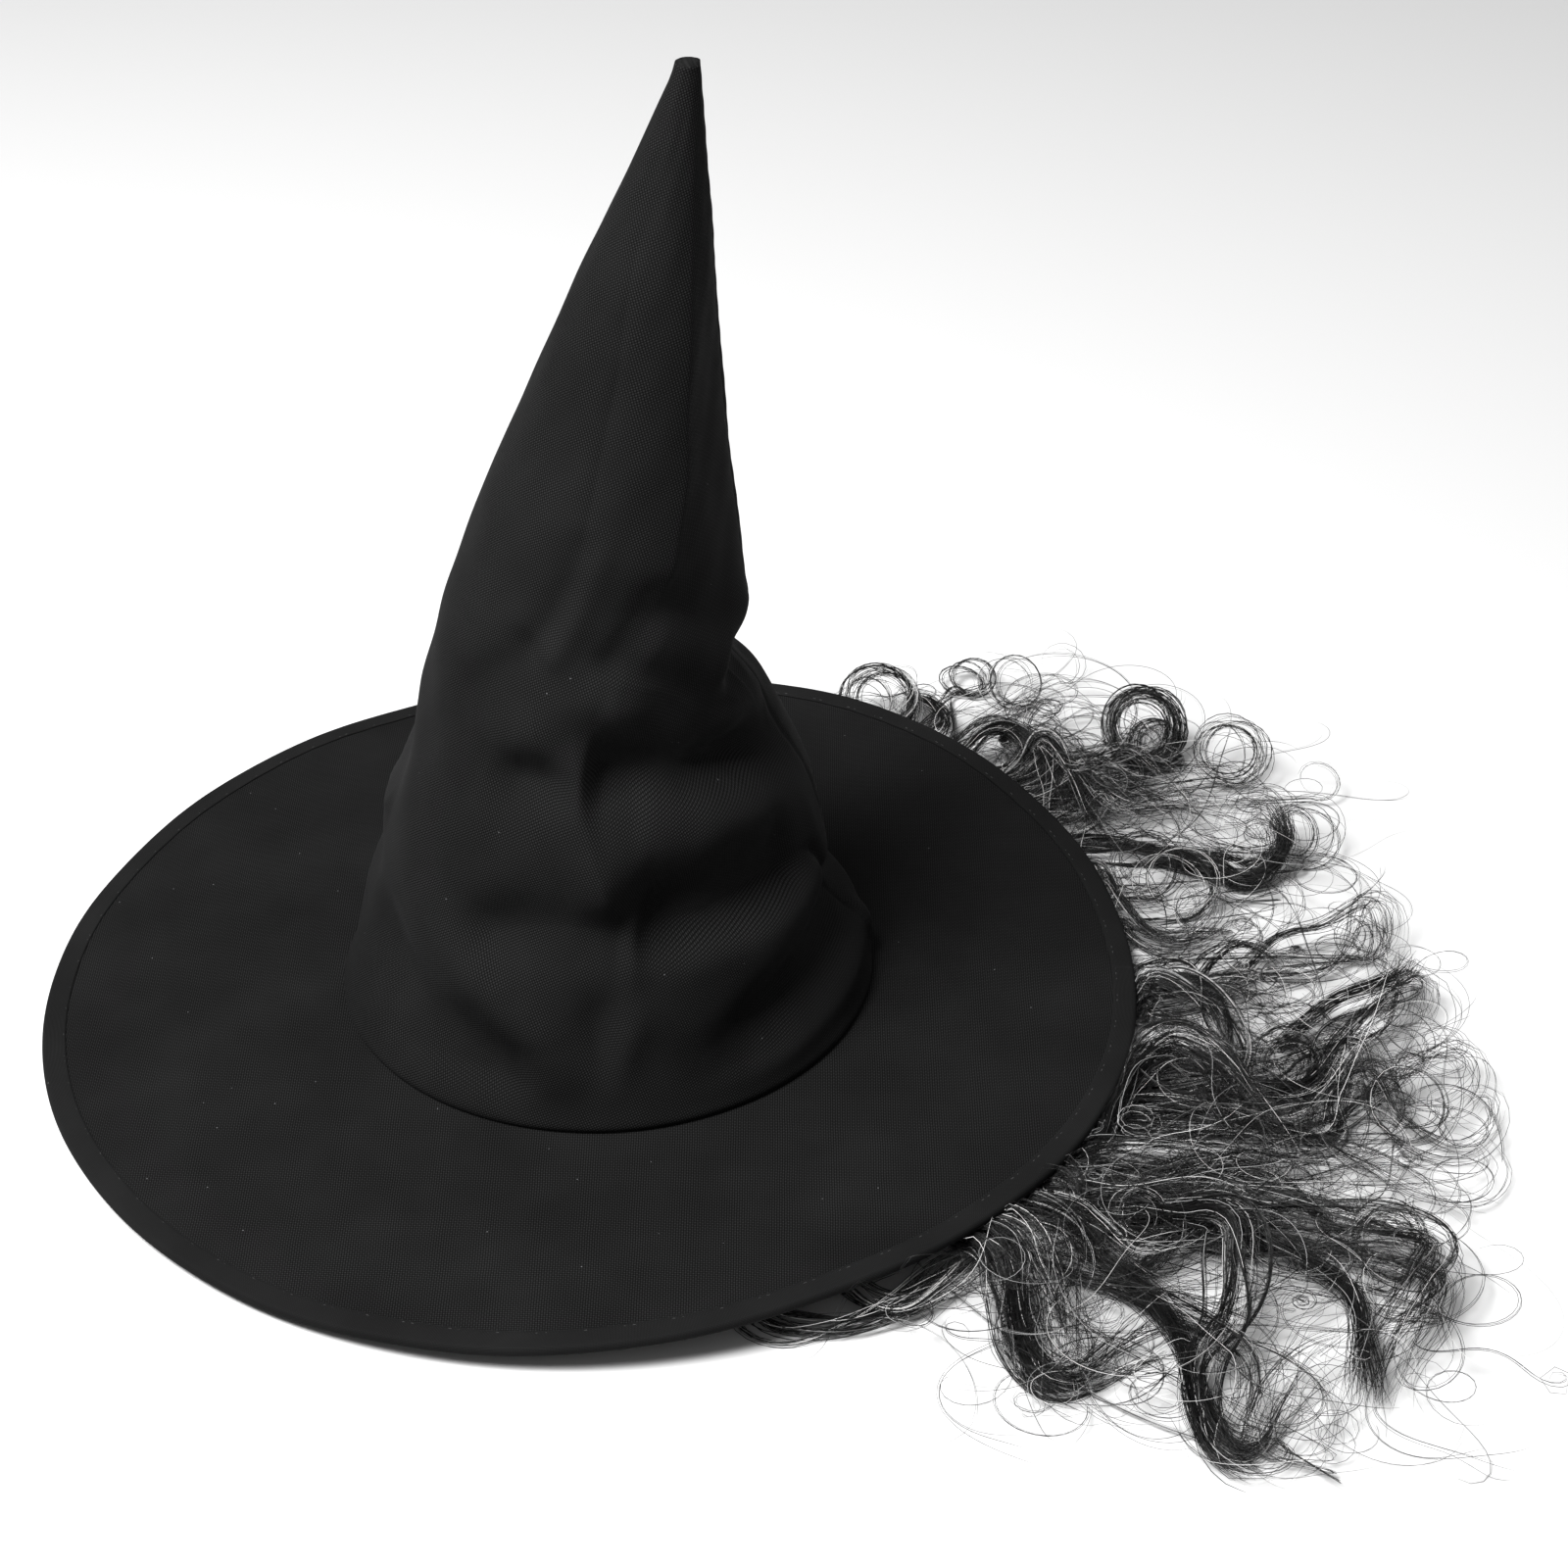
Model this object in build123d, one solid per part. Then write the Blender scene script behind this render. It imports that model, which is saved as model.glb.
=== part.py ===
from build123d import *
import math
import os

# Witch hat: a tall cloth cone on a wide wired brim, with loose curly hair sewn under the back.
# Frame: +Z up, the hat's front is -Y, its back seam and hair are +Y.
# Origin: centre of the head opening, at the height where the crown meets the brim.
# All lengths are in millimetres.

# Brim
BRIM_R = 190.0            # radius of the cloth, 38 cm across
BRIM_FORWARD = 6.0        # the brim's centre sits this far in front of the head opening
BRIM_HOLE_R = 90.6        # hole cut in the brim for the head
BRIM_FLAT_R = 98.0        # the brim is level out to here, then droops
BRIM_DROOP = 3.0          # fall of the brim's top face from there to its edge
PANEL_T = 0.7             # cloth panels, top and under
STIFFENER_T = 1.4         # interlining between them
BINDING_T = 0.6           # folded bias tape round the edge
BINDING_W = 7.0           # width of the tape seen on each face
WIRE_R = 0.6              # edge wire

# Sweatband
SWEAT_R = 89.3            # inner wall, a head of 56 cm
SWEAT_T = 0.8
SWEAT_LOW = -9.5
SWEAT_HIGH = 4.5

# Crown
CROWN_BASE_R = 93.0       # outer radius where the crown meets the brim
CROWN_TAPER = 0.295       # loss of radius for each millimetre of height, lower crown
CROWN_T = 1.2
FOLD_FRONT_Z = 130.0      # the lower crown ends here at the front
FOLD_BACK_Z = 90.0       # and here at the back, where the crown folds over
FOLD_GAP = 0.4
UPPER_Z = 136.0           # the upper cone starts here
UPPER_R = 51.0
UPPER_CENTRE_Y = -3.5
UPPER_LEN = 196.0         # along the leaning axis, from UPPER_Z to the tip
UPPER_LEAN = 10.8         # degrees towards the back
TIP_R = 3.6

# Hair
HAIR_FLOOR = -11.5        # the surface the hat lies on
HAIR_UNDER = -7.0         # top of the hair where it lies under the brim
HAIR_OUTER = 12.0         # top of the hair beyond the brim
LOCK_NOSE = 0.14          # how far a lock's rounded end stands out, in steps of its edge
HAIR_GAP = 0.9            # half the gap between neighbouring locks
BRIM_CLEAR_R = 193.5      # the thick part of the hair starts outside this radius
SIDE_ROOT = (66.0, 44.0)  # centre of a side fan of hair
SIDE_ROOT_R = 28.0
SIDE_ANGLES = (8.0, 24.0, 40.0, 56.0, 72.0, 88.0)
LEFT_REACH = (136.0, 188.0, 244.0, 246.0, 258.0)
RIGHT_REACH = (122.0, 152.0, 188.0, 224.0, 246.0)
BACK_ROOT_Y = 93.8
BACK_ROOT_X = (-40.0, -20.0, 0.0, 20.0, 40.0)
BACK_END_X = (-58.0, -30.0, 0.0, 30.0, 58.0)
BACK_REACH = (262.0, 284.0, 292.0, 296.0)

os.makedirs("parts", exist_ok=True)


def save(name, shape):
    shape.label = name
    export_step(shape, f"parts/{name}.step")


def turned(points):
    """Solid of revolution about Z of an outline given as (radius, height) pairs."""
    return revolve(Plane.XZ * make_face(Polyline(*points, close=True)), Axis.Z, 360)


def sector(points, centre_deg, width_deg):
    """Part of a turned solid, width_deg wide and centred on an angle from +X."""
    face = Rot(0, 0, centre_deg - width_deg / 2) * (Plane.XZ * make_face(Polyline(*points, close=True)))
    return revolve(face, Axis.Z, width_deg)


def half_space(z_front, z_back, keep_above):
    """Large block bounded by a plane that slopes from the front of the crown to its back."""
    slope = math.degrees(math.atan2(z_back - z_front, 2 * (CROWN_BASE_R - CROWN_TAPER * z_front)))
    middle = Pos(0, 0, (z_front + z_back) / 2) * Rot(slope, 0, 0)
    offset = 300 if keep_above else -300
    return middle * Pos(0, 0, offset) * Box(600, 600, 600)


# ---------------------------------------------------------------- brim
def brim_top(radius):
    """Height of the brim's top face at a distance from the brim's centre."""
    beyond = max(0.0, radius - BRIM_FLAT_R)
    return -BRIM_DROOP * beyond / (BRIM_R - BRIM_FLAT_R)


def brim_layer(depth_top, depth_bottom, outer_r):
    """One layer of the brim between two depths below its top face."""
    profile = [
        (80, -depth_top),
        (BRIM_FLAT_R, -depth_top),
        (outer_r, brim_top(outer_r) - depth_top),
        (outer_r, brim_top(outer_r) - depth_bottom),
        (BRIM_FLAT_R, -depth_bottom),
        (80, -depth_bottom),
    ]
    hole = Cylinder(BRIM_HOLE_R, 60)
    return Pos(0, -BRIM_FORWARD, 0) * turned(profile) - hole


under_top = PANEL_T + STIFFENER_T
brim_t = under_top + PANEL_T
wire_ring_r = BRIM_R - 1.0
wire_z = brim_top(wire_ring_r) - PANEL_T - STIFFENER_T / 2

save("brim_top_panel", brim_layer(0, PANEL_T, BRIM_R))
save("brim_stiffener", brim_layer(PANEL_T, under_top, wire_ring_r - WIRE_R - 0.4))
save("brim_under_panel", brim_layer(under_top, brim_t, BRIM_R))
save("brim_edge_wire", Pos(0, -BRIM_FORWARD, wire_z) * Torus(wire_ring_r, WIRE_R))

in_r = BRIM_R - BINDING_W
out_r = BRIM_R + BINDING_T
in_z = brim_top(in_r)
out_z = brim_top(BRIM_R)
binding = turned([
    (in_r, in_z),
    (BRIM_R, out_z),
    (BRIM_R, out_z - brim_t),
    (in_r, in_z - brim_t),
    (in_r, in_z - brim_t - BINDING_T),
    (out_r, out_z - brim_t - BINDING_T),
    (out_r, out_z + BINDING_T),
    (in_r, in_z + BINDING_T),
])
save("brim_edge_binding", Pos(0, -BRIM_FORWARD, 0) * binding)

stitch_r = in_r + 1.0
stitch_z = in_z + (out_z - in_z) / BINDING_W + BINDING_T
stitch = turned([
    (stitch_r, stitch_z + 0.05),
    (stitch_r + 0.5, stitch_z + 0.05),
    (stitch_r + 0.5, stitch_z + 0.35),
    (stitch_r, stitch_z + 0.35),
])
save("binding_topstitch", Pos(0, -BRIM_FORWARD, 0) * stitch)

# ---------------------------------------------------------------- sweatband
sweat_out = SWEAT_R + SWEAT_T
save("sweatband", turned([
    (SWEAT_R, SWEAT_LOW),
    (sweat_out, SWEAT_LOW),
    (sweat_out, SWEAT_HIGH),
    (SWEAT_R, SWEAT_HIGH),
]))
save("sweatband_seam_thread", turned([
    (sweat_out + 0.02, -0.9),
    (sweat_out + 0.42, -0.9),
    (sweat_out + 0.42, -0.4),
    (sweat_out + 0.02, -0.4),
]))


# ---------------------------------------------------------------- crown
def crown_r(z):
    """Outer radius of the lower crown."""
    return CROWN_BASE_R - CROWN_TAPER * z


def cone_wall(z_low, z_high, inset, thickness):
    """Profile of a layer of the lower cone, inset from its outer face."""
    return [
        (crown_r(z_low) - inset - thickness, z_low),
        (crown_r(z_low) - inset, z_low),
        (crown_r(z_high) - inset, z_high),
        (crown_r(z_high) - inset - thickness, z_high),
    ]


crown_wall = turned(cone_wall(0.05, UPPER_Z - FOLD_GAP, 0, CROWN_T))
lower_crown = crown_wall & half_space(FOLD_FRONT_Z, FOLD_BACK_Z, keep_above=False)
fold_zone = crown_wall & half_space(FOLD_FRONT_Z + FOLD_GAP, FOLD_BACK_Z + FOLD_GAP, keep_above=True)
save("crown_lower_panel", lower_crown)
save("crown_fold_zone", fold_zone)

# Pressed-open allowance of the back seam, inside the cone along +Y.
save("back_seam_lower", sector(cone_wall(8, FOLD_BACK_Z - 4, CROWN_T + 0.02, 0.8), 90, 8))

# Thread line where the crown is sewn down to the brim.
save("base_seam_thread", turned([
    (CROWN_BASE_R + 0.1, 0.06),
    (CROWN_BASE_R + 0.6, 0.06),
    (CROWN_BASE_R + 0.6, 0.46),
    (CROWN_BASE_R + 0.1, 0.46),
]))


def upper_r(along):
    """Outer radius of the upper cone at a distance along its axis."""
    return UPPER_R + (TIP_R - UPPER_R) * along / UPPER_LEN


def upper_wall(low, high, inset, thickness):
    return [
        (upper_r(low) - inset - thickness, low),
        (upper_r(low) - inset, low),
        (upper_r(high) - inset, high),
        (upper_r(high) - inset - thickness, high),
    ]


upper_place = Pos(0, UPPER_CENTRE_Y, UPPER_Z) * Rot(-UPPER_LEAN, 0, 0)
above_fold = Pos(0, 0, UPPER_Z + 300) * Box(600, 600, 600)
seam_start = 14.0
tip_start = UPPER_LEN - 8.0

save("crown_upper_panel", (upper_place * turned(upper_wall(-14, tip_start - 0.05, 0, CROWN_T))) & above_fold)
save("back_seam_upper", upper_place * sector(upper_wall(seam_start, tip_start - 34, CROWN_T + 0.02, 0.8), 90, 14))
tip = turned([(0, tip_start), (upper_r(tip_start), tip_start), (TIP_R, UPPER_LEN), (0, UPPER_LEN)])
save("crown_tip_fold", upper_place * tip)

# ---------------------------------------------------------------- hair tapes
tape_in = sweat_out + 0.4
tape_out = tape_in + 1.4
tape_low = -8.4
tape_high = -brim_t - 0.1
tape_profile = [(tape_in, tape_low), (tape_out, tape_low), (tape_out, tape_high), (tape_in, tape_high)]
thread_profile = [
    (tape_out + 0.05, -5.6),
    (tape_out + 0.45, -5.6),
    (tape_out + 0.45, -5.1),
    (tape_out + 0.05, -5.1),
]
TAPES = {"left": (28.0, 22.0), "back": (90.0, 54.0), "right": (152.0, 22.0)}
threads = []
for side, (centre_deg, width_deg) in TAPES.items():
    save(f"hair_tape_{side}", sector(tape_profile, centre_deg, width_deg))
    threads.append(sector(thread_profile, centre_deg, width_deg - 2))
save("hair_tape_threads", Compound(children=threads))


# ---------------------------------------------------------------- hair locks
def lock(edge_a, edge_b):
    """Closed lock between two edge curves: flat under the brim, thick beyond it."""
    side_a = Spline(*edge_a)
    side_b = Spline(*edge_b)
    start = Line(edge_a[0], edge_b[0])
    last = (Vector(*edge_a[-1]) + Vector(*edge_b[-1])) / 2
    before = (Vector(*edge_a[-2]) + Vector(*edge_b[-2])) / 2
    nose = last + (last - before) * LOCK_NOSE
    end = ThreePointArc(edge_a[-1], nose, edge_b[-1])
    plan = make_face([side_a, end, side_b, start])
    flat = Pos(0, 0, HAIR_FLOOR) * extrude(plan, HAIR_UNDER - HAIR_FLOOR, dir=(0, 0, 1))
    full = Pos(0, 0, HAIR_FLOOR) * extrude(plan, HAIR_OUTER - HAIR_FLOOR, dir=(0, 0, 1))
    under_brim = Pos(0, -BRIM_FORWARD, 0) * Cylinder(BRIM_CLEAR_R, 200)
    return flat + (full - under_brim)


def fan_edge(angle, reach, gap):
    """Edge of a side lock, running out from the fan's root."""
    steps = 4
    points = []
    for i in range(steps + 1):
        rho = SIDE_ROOT_R + (reach - SIDE_ROOT_R) * i / steps
        turn = math.radians(angle) + gap / rho
        points.append((SIDE_ROOT[0] + rho * math.cos(turn), SIDE_ROOT[1] + rho * math.sin(turn)))
    return points


def side_lock(index, reach):
    low, high = SIDE_ANGLES[index], SIDE_ANGLES[index + 1]
    return lock(fan_edge(low, reach, HAIR_GAP), fan_edge(high, reach, -HAIR_GAP))


for i, reach in enumerate(LEFT_REACH):
    save(f"hair_left_lock_{i + 1}", side_lock(i, reach))
for i, reach in enumerate(RIGHT_REACH):
    save(f"hair_right_lock_{i + 1}", mirror(side_lock(i, reach), about=Plane.YZ))


def back_edge(root_x, end_x, reach, gap):
    """Edge of a back lock, from the opening's rim to its loose end."""
    points = []
    for i in range(4):
        along = i / 3
        x = root_x + (end_x - root_x) * along + gap
        points.append((x, BACK_ROOT_Y + (reach - BACK_ROOT_Y) * along))
    return points


for i, reach in enumerate(BACK_REACH):
    edge_a = back_edge(BACK_ROOT_X[i], BACK_END_X[i], reach, HAIR_GAP)
    edge_b = back_edge(BACK_ROOT_X[i + 1], BACK_END_X[i + 1], reach, -HAIR_GAP)
    save(f"hair_back_lock_{i + 1}", lock(edge_a, edge_b))
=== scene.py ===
import math

import bpy
import numpy as np
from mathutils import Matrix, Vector


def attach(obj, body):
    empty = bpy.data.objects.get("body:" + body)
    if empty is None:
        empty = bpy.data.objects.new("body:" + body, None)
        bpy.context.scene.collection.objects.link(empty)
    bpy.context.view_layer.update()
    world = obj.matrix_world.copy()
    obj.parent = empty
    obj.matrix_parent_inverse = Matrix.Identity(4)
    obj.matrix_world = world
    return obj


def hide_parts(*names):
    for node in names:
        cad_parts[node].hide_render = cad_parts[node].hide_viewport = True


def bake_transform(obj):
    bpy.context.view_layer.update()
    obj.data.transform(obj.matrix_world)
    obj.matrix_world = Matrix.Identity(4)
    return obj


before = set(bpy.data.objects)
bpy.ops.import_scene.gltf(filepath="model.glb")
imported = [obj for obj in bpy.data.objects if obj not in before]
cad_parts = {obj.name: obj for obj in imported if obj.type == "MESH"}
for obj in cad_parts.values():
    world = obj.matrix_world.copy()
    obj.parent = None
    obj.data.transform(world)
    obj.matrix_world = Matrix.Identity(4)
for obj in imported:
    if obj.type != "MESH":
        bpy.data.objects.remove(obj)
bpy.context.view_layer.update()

MM = 0.001
FLOOR = -11.5             # the surface the hat lies on, mm
RNG = np.random.default_rng(1031)

# Shapes below are worked out in millimetres, in the part's frame.
# Angles round the hat run from the back seam (+Y, 0 degrees) through +X (90) to the front (180).
OPEN_R = 90.8             # head opening
OPEN_TILT = 1.4           # how far its back stands above its middle, and its front below
BRIM_R = 190.0
BRIM_FORWARD = 6.0        # the edge's centre lies this far in front of the opening's
BRIM_T = 2.6              # both cloths and the interlining


# ------------------------------------------------------------------ helpers
def smooth(t):
    t = np.clip(t, 0.0, 1.0)
    return t * t * (3.0 - 2.0 * t)


def unit(vectors):
    """The same directions with a length of 1."""
    return vectors / (np.linalg.norm(vectors, axis=-1, keepdims=True) + 1e-9)


def add_object(name, data):
    obj = bpy.data.objects.new(name, data)
    bpy.context.collection.objects.link(obj)
    return obj


def make_piece(name, verts, faces, materials, face_mats=None, cloth=None, body="hat"):
    """A mesh piece from points in millimetres. cloth holds each point's place on the flat cloth."""
    mesh = bpy.data.meshes.new(name)
    verts = np.asarray(verts, dtype=np.float32) * MM
    faces = np.asarray(faces, dtype=np.int32)
    sides = faces.shape[1]
    mesh.vertices.add(len(verts))
    mesh.vertices.foreach_set("co", verts.ravel())
    mesh.loops.add(faces.size)
    mesh.loops.foreach_set("vertex_index", faces.ravel())
    mesh.polygons.add(len(faces))
    mesh.polygons.foreach_set("loop_start", np.arange(0, faces.size, sides, dtype=np.int32))
    for mat in materials:
        mesh.materials.append(mat)
    if face_mats is not None:
        mesh.polygons.foreach_set("material_index", np.asarray(face_mats, dtype=np.int32))
    mesh.update(calc_edges=True)
    mesh.validate()
    mesh.shade_smooth()
    if cloth is not None:
        layer = mesh.attributes.new("cloth", "FLOAT_VECTOR", "POINT")
        layer.data.foreach_set("vector", np.asarray(cloth, dtype=np.float32).ravel())
    obj = add_object(name, mesh)
    if body:
        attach(obj, body)
    return obj


def grid_faces(rows, cols, wrap, start=0, flip=False):
    """Quads of a grid of rows x cols points, wrapping round each row if asked."""
    last = cols if wrap else cols - 1
    r, c = np.meshgrid(np.arange(rows - 1), np.arange(last), indexing="ij")
    c2 = (c + 1) % cols
    quad = np.stack([r * cols + c, r * cols + c2, (r + 1) * cols + c2, (r + 1) * cols + c], axis=-1)
    quad = quad.reshape(-1, 4) + start
    return quad[:, ::-1] if flip else quad


def closed_band(name, loops, material, cloth):
    """A ring whose cross-section is a closed loop: loops has shape (around, section, 3)."""
    around, section, _ = loops.shape
    ring = np.concatenate([loops, loops[:, :1]], axis=1)
    faces = grid_faces(around + 1, section, True)
    faces = faces % (around * section)
    verts = ring[:, :section].reshape(-1, 3)
    return make_piece(name, verts, faces, [material], cloth=cloth)


# ------------------------------------------------------------------ materials
class Nodes:
    """Short calls for building a node tree."""

    def __init__(self, name):
        self.mat = bpy.data.materials.new(name)
        self.mat.use_nodes = True
        self.tree = self.mat.node_tree
        self.shader = self.tree.nodes["Principled BSDF"]

    def add(self, kind, **values):
        node = self.tree.nodes.new(kind)
        for key, value in values.items():
            if hasattr(node, key):
                setattr(node, key, value)
            else:
                node.inputs[key.replace("_", " ")].default_value = value
        return node

    def link(self, out, into):
        self.tree.links.new(out, into)

    def math(self, op, a, b=None):
        node = self.tree.nodes.new("ShaderNodeMath")
        node.operation = op
        for i, value in enumerate((a, b)):
            if value is None:
                continue
            if isinstance(value, (int, float)):
                node.inputs[i].default_value = value
            else:
                self.link(value, node.inputs[i])
        return node.outputs[0]

    def noise(self, vector, scale, detail=3.0, rough=0.55):
        node = self.tree.nodes.new("ShaderNodeTexNoise")
        node.inputs["Scale"].default_value = scale
        node.inputs["Detail"].default_value = detail
        node.inputs["Roughness"].default_value = rough
        self.link(vector, node.inputs["Vector"])
        return node.outputs["Fac"]

    def ramp(self, fac, stops):
        node = self.tree.nodes.new("ShaderNodeValToRGB")
        ramp = node.color_ramp
        while len(ramp.elements) < len(stops):
            ramp.elements.new(0.5)
        for element, (pos, colour) in zip(ramp.elements, stops):
            element.position = pos
            element.color = (*colour, 1.0)
        self.link(fac, node.inputs["Fac"])
        return node.outputs["Color"]

    def drive(self, socket, out):
        self.link(out, self.shader.inputs[socket])

    def bump(self, height, strength, distance):
        node = self.add("ShaderNodeBump", Strength=strength, Distance=distance)
        self.link(height, node.inputs["Height"])
        self.drive("Normal", node.outputs["Normal"])

    def set(self, **values):
        for key, value in values.items():
            self.shader.inputs[key.replace("_", " ")].default_value = value


def grey(level, warm=0.0):
    return (level * (1 + warm), level, level * (1 - warm))


def woven(name, level, pitch, depth, sheen=0.008, lint=0.5, use_cloth=True):
    """Plain-woven cloth: threads over and under, uneven dye, and a few specks of lint; the threads'
    colour is painted light, painted shade in the gaps between them and painted highlights on their
    crowns. pitch is the distance from thread to thread and depth their relief, both in millimetres."""
    n = Nodes(name)
    if use_cloth:
        place = n.add("ShaderNodeAttribute", attribute_name="cloth").outputs["Vector"]
    else:
        coord = n.add("ShaderNodeTexCoord").outputs["Object"]
        scaled = n.add("ShaderNodeVectorMath", operation="SCALE")
        scaled.inputs["Scale"].default_value = 1000.0
        n.link(coord, scaled.inputs[0])
        place = scaled.outputs[0]
    drift = n.noise(place, 0.04, 2.0)
    split = n.add("ShaderNodeSeparateXYZ")
    n.link(place, split.inputs[0])
    u = n.math("ADD", n.math("MULTIPLY", split.outputs["X"], 1 / pitch), n.math("MULTIPLY", drift, 1.2))
    v = n.math("ADD", n.math("MULTIPLY", split.outputs["Y"], 1 / pitch), drift)
    warp = n.math("ABSOLUTE", n.math("SINE", n.math("MULTIPLY", u, math.pi)))
    weft = n.math("ABSOLUTE", n.math("SINE", n.math("MULTIPLY", v, math.pi)))
    cell = n.math("ADD", n.math("FLOOR", u), n.math("FLOOR", v))
    over = n.math("ABSOLUTE", n.math("MULTIPLY", n.math("FRACT", n.math("MULTIPLY", cell, 0.5)), 2.0))
    crossing = n.math("POWER", n.math("MULTIPLY", warp, weft), 0.6)
    threads = n.math("MULTIPLY", crossing, n.math("SUBTRACT", 1.0, n.math("MULTIPLY", over, 0.18)))
    fuzz = n.noise(place, 2.2, 4.0, 0.7)
    height = n.math("ADD", threads, n.math("MULTIPLY", fuzz, 0.35))
    n.bump(height, 0.8, depth * MM)

    patch = n.noise(place, 0.018, 3.0, 0.6)
    # painted light: the threads make the colour much darker in the gaps between them (painted shade) and much
    # lighter on their crowns (painted highlight); patch is uneven dye
    tone = n.math("ADD", n.math("MULTIPLY", threads, 0.62), n.math("MULTIPLY", patch, 0.30))
    tone = n.math("ADD", tone, n.math("MULTIPLY", fuzz, 0.16))
    colour = n.ramp(tone, [
        (0.28, grey(level * 0.10)),
        (0.52, grey(level * 0.80, 0.01)),
        (0.86, grey(level * 3.6, -0.01)),
    ])
    specks = n.add("ShaderNodeTexVoronoi", Scale=0.11)
    n.link(place, specks.inputs["Vector"])
    spot = n.math("LESS_THAN", specks.outputs["Distance"], 0.045 * lint)
    mix = n.add("ShaderNodeMix", data_type="RGBA")
    n.link(n.math("MULTIPLY", spot, 0.30), mix.inputs[0])
    n.link(colour, mix.inputs[6])
    mix.inputs[7].default_value = (0.30, 0.30, 0.31, 1)
    n.drive("Base Color", mix.outputs[2])
    n.drive("Roughness", n.math("ADD", n.math("MULTIPLY", patch, 0.16), 0.72))
    n.set(Sheen_Weight=sheen, Sheen_Roughness=0.4, Sheen_Tint=(0.8, 0.8, 0.83, 1), Specular_IOR_Level=0.05)
    return n.mat


def thread_material(name, level):
    """Twisted sewing thread."""
    n = Nodes(name)
    coord = n.add("ShaderNodeTexCoord").outputs["Object"]
    twist = n.add("ShaderNodeTexWave", Scale=900.0, Distortion=1.5)
    twist.bands_direction = "DIAGONAL"
    n.link(coord, twist.inputs["Vector"])
    n.drive("Base Color", n.ramp(twist.outputs["Fac"], [(0.0, grey(level * 0.5)), (1.0, grey(level * 1.6))]))
    n.bump(twist.outputs["Fac"], 0.5, 0.1 * MM)
    n.set(Roughness=0.55, Sheen_Weight=0.3)
    return n.mat


def metal_material(name):
    n = Nodes(name)
    coord = n.add("ShaderNodeTexCoord").outputs["Object"]
    shades = [(0.3, (0.35, 0.35, 0.36)), (0.7, (0.55, 0.55, 0.56))]
    n.drive("Base Color", n.ramp(n.noise(coord, 400.0), shades))
    n.set(Roughness=0.35, Metallic=1.0)
    return n.mat


def fibre_material(name, level, rough, spec, warm=0.0):
    """One shade of synthetic hair fibre."""
    n = Nodes(name)
    n.set(Base_Color=(*grey(level, warm), 1), Roughness=rough, Specular_IOR_Level=spec, Anisotropic=0.6)
    return n.mat


CROWN_CLOTH = woven("crown_weave", level=0.0048, pitch=0.80, depth=0.09)
BRIM_CLOTH = woven("brim_weave", level=0.0041, pitch=0.80, depth=0.07)
UNDER_CLOTH = woven("under_weave", level=0.0041, pitch=0.80, depth=0.07)
BINDING_CLOTH = woven("binding_weave", level=0.0048, pitch=0.45, depth=0.06)
LINING_CLOTH = woven("inside_weave", level=0.0048, pitch=0.80, depth=0.09)
BAND_CLOTH = woven("sweatband_rib", level=0.0170, pitch=0.80, depth=0.15, sheen=0.10, use_cloth=False)
TAPE_CLOTH = woven("tape_rib", level=0.0160, pitch=0.80, depth=0.15, sheen=0.10, use_cloth=False)
CORE_CLOTH = woven("interlining_felt", level=0.05, pitch=0.40, depth=0.05, sheen=0.2)
THREAD = thread_material("black_thread", 0.005)
WIRE = metal_material("spring_wire")
# the silver and pale shades are light fibres of the grey-black mix, made lighter to stand for painted
# highlights on the dark hair
FIBRES = [
    fibre_material("fibre_black", 0.004, 0.36, 0.25),
    fibre_material("fibre_soft_black", 0.008, 0.36, 0.35),
    fibre_material("fibre_charcoal", 0.022, 0.36, 0.5),
    fibre_material("fibre_grey", 0.11, 0.38, 0.5, 0.01),
    fibre_material("fibre_silver", 0.36, 0.38, 0.55),
    fibre_material("fibre_pale", 0.70, 0.40, 0.5, 0.01),
]


# ------------------------------------------------------------------ brim shape
def edge_height(deg):
    """Height of the brim's edge: down at the front, lifted in shallow waves over the hair."""
    a = np.radians(deg)
    waves = 4.9 * np.cos(a) - 2.4 * np.cos(2 * a) + 0.4 * np.sin(2 * a)
    waves = waves - 2.3 * np.cos(3 * a) - 1.2 * np.cos(4 * a) - 0.5 * np.sin(4 * a)
    return -2.05 + waves


def brim_point(t, deg, lift=0.0):
    """Point on the brim's top face: t is 0 at the head opening and 1 at the edge."""
    a = np.radians(deg)
    r = OPEN_R + (BRIM_R - OPEN_R) * t
    x = r * np.sin(a)
    y = r * np.cos(a) - BRIM_FORWARD * t
    inner = OPEN_TILT * np.cos(a)
    z = inner * (1 - t) + edge_height(deg) * np.sign(t) * np.abs(t) ** 1.25
    ripple = 0.35 * np.sin(a * 9 + 4 * t) * smooth((t - 0.2) / 0.6) + 0.22 * np.sin(a * 17 - 6 * t + 1.0) * t
    pucker = 0.10 * np.sin(a * 83) * smooth((t - 0.88) / 0.1) * smooth((1.0 - t) / 0.04)
    return np.stack([x, y, z + ripple + pucker + lift], axis=-1)


def brim_under(x, y):
    """Height of the brim's under face above a place in the plane, and the share t of its width there."""
    deg = np.degrees(np.arctan2(x, y + BRIM_FORWARD))
    r = np.hypot(x, y + BRIM_FORWARD)
    t = np.clip((r - OPEN_R) / (BRIM_R - OPEN_R), 0.02, 1.0)
    return brim_point(t, deg)[..., 2] - BRIM_T, (r - OPEN_R) / (BRIM_R - OPEN_R)


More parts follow.
